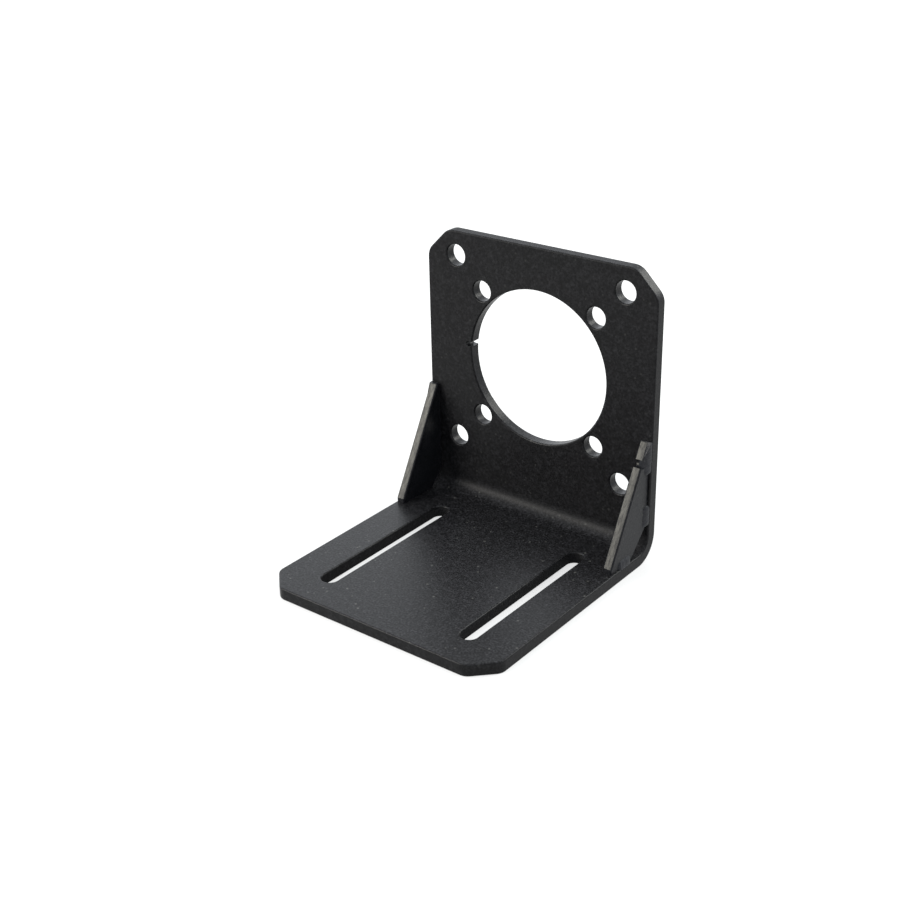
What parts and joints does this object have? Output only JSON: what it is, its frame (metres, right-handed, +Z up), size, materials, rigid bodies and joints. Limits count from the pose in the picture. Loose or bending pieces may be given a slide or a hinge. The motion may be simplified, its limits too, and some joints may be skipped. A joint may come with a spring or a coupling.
{
  "type": "motor mounting bracket",
  "caption": "Folded steel bracket with welded side gussets; its upright plate is bored and drilled for a motor flange and its base has adjusting slots.",
  "frame": {"origin": "on the surface under the base, below the middle of the bracket's outer box", "axes": "+Z up the plate, +Y from the base's front edge to the upright plate, +X across the bracket to the side with the notched gusset"},
  "size_m": [0.064, 0.0666, 0.071],
  "materials": {
    "powder_coated_sheet": "black powder coat, satin, fine grit",
    "powder_coated_gussets": "black powder coat, satin, paler on the cut edges",
    "powder_coated_welds": "black powder coat over weld metal"
  },
  "bodies": {
    "root": {"folded_plate": "powder_coated_sheet", "left_gusset": "powder_coated_gussets", "right_gusset": "powder_coated_gussets", "left_welds": "powder_coated_welds", "right_welds": "powder_coated_welds"}
  },
  "joints": []
}
